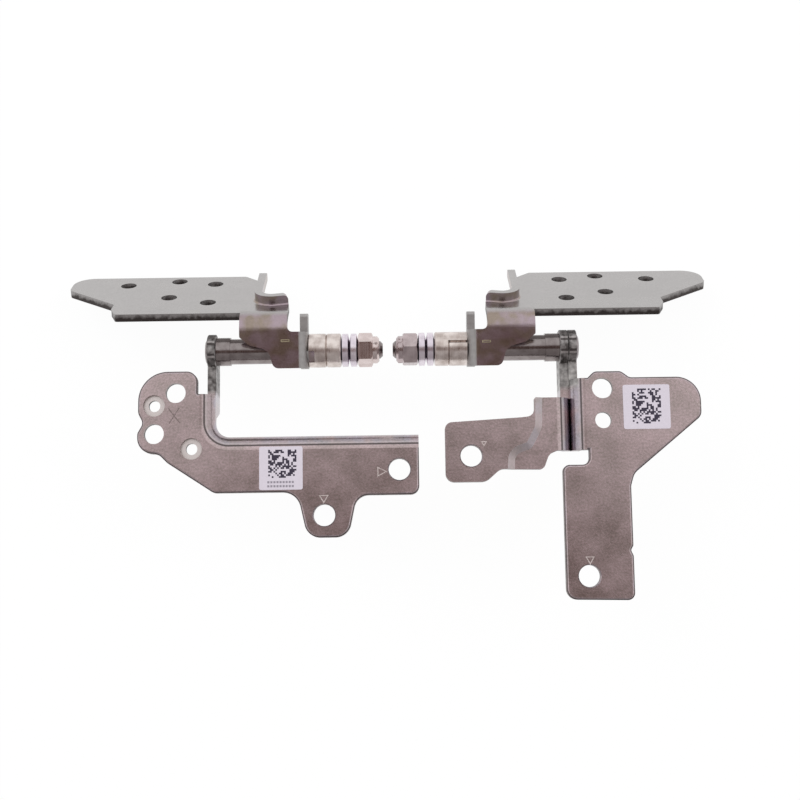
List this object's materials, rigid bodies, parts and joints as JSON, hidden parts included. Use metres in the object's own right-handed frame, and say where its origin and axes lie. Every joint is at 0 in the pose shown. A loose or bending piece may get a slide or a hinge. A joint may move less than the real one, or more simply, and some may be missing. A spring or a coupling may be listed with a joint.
{
  "type": "laptop hinge pair",
  "caption": "Pair of friction hinges for a laptop lid: bent sheet brackets, riveted shafts, turning lid arms and sprung friction stacks held by lock nuts.",
  "frame": {"origin": "middle of the left bracket's two-screw pattern, on its screw-head face", "axes": "+X along both pins from the left hinge to the right one, +Y from the base towards the pins, +Z out of the screw-head side of the base plates"},
  "size_m": [0.0936, 0.049, 0.0147],
  "materials": {
    "base_sheet": "nickel plate, satin",
    "arm_sheet": "nickel plate, satin",
    "shaft_steel": "turned and plated, bright",
    "ring_steel": "sintered and plated",
    "spring_steel": "hardened strip",
    "nut_steel": "dark nickel",
    "label_paper": "matt white"
  },
  "bodies": {
    "base": {"left_base_bracket": "base_sheet", "right_base_bracket": "base_sheet", "right_side_bracket": "base_sheet", "left_label": "label_paper", "right_label": "label_paper", "left_shaft": "shaft_steel", "right_shaft": "shaft_steel", "left_friction_washer": "ring_steel", "right_friction_washer": "ring_steel", "left_follower_ring": "ring_steel", "right_stop_washer": "ring_steel", "left_disc_spring_1": "spring_steel", "left_disc_spring_2": "spring_steel", "left_disc_spring_3": "spring_steel", "left_disc_spring_4": "spring_steel", "right_disc_spring_1": "spring_steel", "right_disc_spring_2": "spring_steel", "right_disc_spring_3": "spring_steel", "right_disc_spring_4": "spring_steel", "left_lock_nut": "nut_steel", "right_lock_nut": "nut_steel"},
    "left_arm": {"left_lid_arm": "arm_sheet", "left_cam_ring": "ring_steel"},
    "right_arm": {"right_lid_arm": "arm_sheet", "right_stop_collar": "ring_steel"}
  },
  "joints": [
    {"name": "left_hinge", "type": "hinge", "parent": "base", "child": "left_arm", "pos_m": [-0.00797, 0.02036, -0.003], "axis": [1, 0, 0], "range_deg": [-122, 8]},
    {"name": "right_hinge", "type": "hinge", "parent": "base", "child": "right_arm", "pos_m": [0.01553, 0.02036, -0.003], "axis": [1, 0, 0], "range_deg": [-122, 8]}
  ]
}
